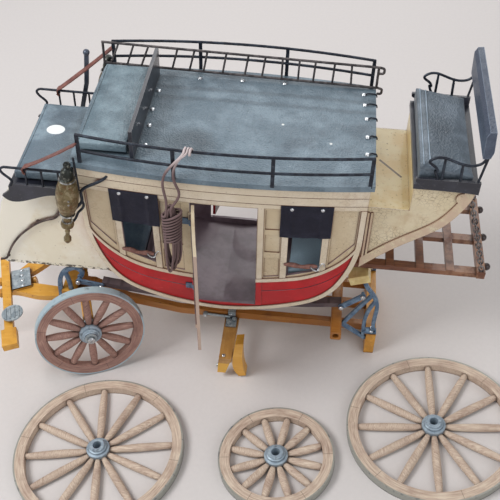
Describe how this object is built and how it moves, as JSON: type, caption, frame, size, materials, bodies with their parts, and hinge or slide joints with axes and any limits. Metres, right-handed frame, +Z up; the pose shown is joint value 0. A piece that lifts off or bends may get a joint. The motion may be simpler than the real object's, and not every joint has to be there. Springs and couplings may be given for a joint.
{
  "type": "model stagecoach",
  "caption": "Display model of a mail stagecoach on leather braces, with a steering front gear, opening doors, a mounted front wheel and loose wheels lying beside it.",
  "frame": {"origin": "on the floor, below the middle of the bounding box of the coach, its pole and the loose wheels", "axes": "+X to the coach's rear, +Y to its right side, +Z up; the coach stands pitched down at its rear"},
  "size_m": [0.7284, 0.3706, 0.2789],
  "materials": {
    "wheel_wood": "worn satin stain",
    "mounted_wheel_wood": "satin stain",
    "wheel_iron": "satin",
    "body_paint": "crackled gloss",
    "red_paint": "crackled gloss",
    "cabin_paint": "satin",
    "dark_board": "satin",
    "purple_wood": "satin paint",
    "dark_leather": "satin",
    "curtain_leather": "satin",
    "seat_leather": "worn satin",
    "gear_wood": "satin paint",
    "iron": "satin",
    "steel": "satin",
    "bronze": "aged",
    "roof_leather": "worn satin",
    "rope": "matt"
  },
  "bodies": {
    "coach": {"arm_rails": "iron", "body_floor": "cabin_paint", "boot_floor": "body_paint", "boot_sides": "body_paint", "brace_stands": "iron", "braces": "dark_leather", "brake_beam": "gear_wood", "brake_irons": "steel", "brake_lever": "iron", "brake_shoes": "gear_wood", "cabin_backs": "seat_leather", "cabin_benches": "purple_wood", "cabin_cushions": "seat_leather", "chains": "iron", "door_hinges": "steel", "driver_cushion": "seat_leather", "driver_seat_board": "dark_board", "end_panels": "body_paint", "foot_rods": "iron", "front_bolster": "gear_wood", "king_bolt": "iron", "ladder_guard": "iron", "lamp_brackets": "iron", "lamps": "bronze", "loose_front_wheel_iron": "wheel_iron", "loose_front_wheel_wood": "wheel_wood", "loose_rear_wheels_iron": "wheel_iron", "loose_rear_wheels_wood": "wheel_wood", "lower_panels": "red_paint", "luggage_platform": "gear_wood", "mouldings": "body_paint", "perches": "gear_wood", "rear_axle": "gear_wood", "rear_bar": "gear_wood", "rear_boot": "body_paint", "rear_seat_back": "dark_board", "rear_seat_board": "dark_board", "rear_seat_cushion": "seat_leather", "roof": "roof_leather", "roof_rails": "iron", "roof_seat_back": "dark_board", "roof_seat_cushion": "seat_leather", "rope_hank": "rope", "rope_strands": "rope", "seat_straps": "dark_leather", "shackles": "steel", "side_panels": "body_paint", "spring_bar": "gear_wood", "window_curtains": "curtain_leather"},
    "front_gear": {"front_axle": "gear_wood", "hounds": "gear_wood", "axle_bed": "gear_wood", "splinter_bar": "gear_wood", "step_plates": "steel", "pole": "gear_wood", "wheel_pin": "steel"},
    "front_wheel": {"front_wheel_left_wood": "mounted_wheel_wood", "front_wheel_left_iron": "wheel_iron"},
    "left_door": {"door_left": "body_paint"},
    "right_door": {"door_right": "body_paint"}
  },
  "joints": [
    {"name": "steering", "type": "hinge", "parent": "coach", "child": "front_gear", "pos_m": [-0.05056, 0.0609, 0.07], "axis": [0.1025, 0, 0.9947], "range_deg": [-42, 4]},
    {"name": "front_wheel_spin", "type": "hinge", "parent": "front_gear", "child": "front_wheel", "pos_m": [-0.02648, -0.01427, 0.05114], "axis": [0.3345, -0.9374, 0.0968], "continuous": true},
    {"name": "left_door_swing", "type": "hinge", "parent": "coach", "child": "left_door", "pos_m": [0.07369, 0.00247, 0.08304], "axis": [0.1019, -0.1024, 0.9895], "range_deg": [-10, 80]},
    {"name": "right_door_swing", "type": "hinge", "parent": "coach", "child": "right_door", "pos_m": [0.07369, 0.11933, 0.08304], "axis": [0.1019, 0.1024, 0.9895], "range_deg": [-80, 10]}
  ]
}
